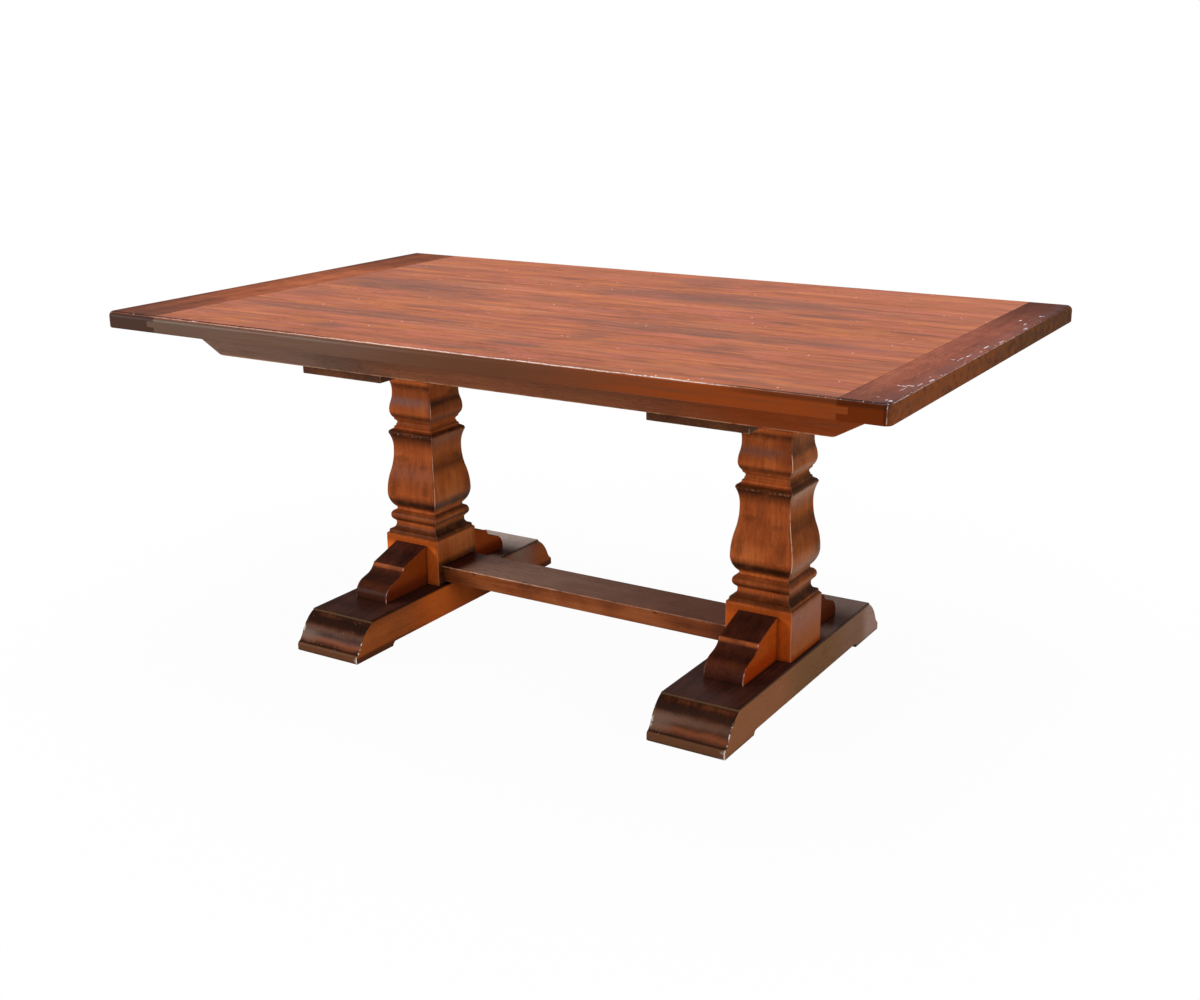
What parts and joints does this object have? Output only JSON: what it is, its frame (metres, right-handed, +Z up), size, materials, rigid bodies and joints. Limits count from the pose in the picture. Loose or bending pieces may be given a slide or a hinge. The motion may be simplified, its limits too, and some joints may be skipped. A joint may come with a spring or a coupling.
{
  "type": "dining table",
  "caption": "Trestle dining table with a plank top and end boards, on shaped square posts with moulded feet, brackets and a low stretcher, in worn red-brown wood.",
  "frame": {"origin": "middle of the floor rectangle under the table, at floor level", "axes": "+X along the table to the right, the front is at -Y, +Z up"},
  "size_m": [1.77, 1.067, 0.762],
  "materials": {
    "plank_wood": "satin lacquer",
    "end_board_wood": "satin lacquer",
    "rail_wood": "satin lacquer",
    "post_wood": "satin lacquer with dark glaze",
    "foot_wood": "satin lacquer with dark glaze",
    "stretcher_wood": "satin lacquer",
    "inner_wood": "bare",
    "steel": "zinc plated",
    "brass": "plain"
  },
  "bodies": {
    "root": {"top_plank_1": "plank_wood", "top_plank_2": "plank_wood", "top_plank_3": "plank_wood", "top_plank_4": "plank_wood", "top_plank_5": "plank_wood", "top_plank_6": "plank_wood", "top_plank_7": "plank_wood", "end_board_left": "end_board_wood", "end_board_right": "end_board_wood", "end_board_pegs": "inner_wood", "top_buttons": "inner_wood", "bracket_dowels": "inner_wood", "cross_rail_left_outer": "inner_wood", "cross_rail_left_inner": "inner_wood", "cross_rail_right_inner": "inner_wood", "cross_rail_right_outer": "inner_wood", "long_rail_front": "rail_wood", "long_rail_back": "rail_wood", "pedestal_plate_left": "rail_wood", "pedestal_plate_right": "rail_wood", "post_left": "post_wood", "post_right": "post_wood", "foot_left": "foot_wood", "foot_right": "foot_wood", "bracket_left_front": "foot_wood", "bracket_left_back": "foot_wood", "bracket_right_front": "foot_wood", "bracket_right_back": "foot_wood", "stretcher": "stretcher_wood", "button_screws": "steel", "plate_bolts": "steel", "plate_washers": "steel", "post_screws": "steel", "foot_lag_screws": "steel", "bracket_screws": "steel", "hanger_bolts": "steel", "hanger_nuts": "steel", "hanger_washers": "steel", "threaded_inserts": "brass"}
  },
  "joints": []
}
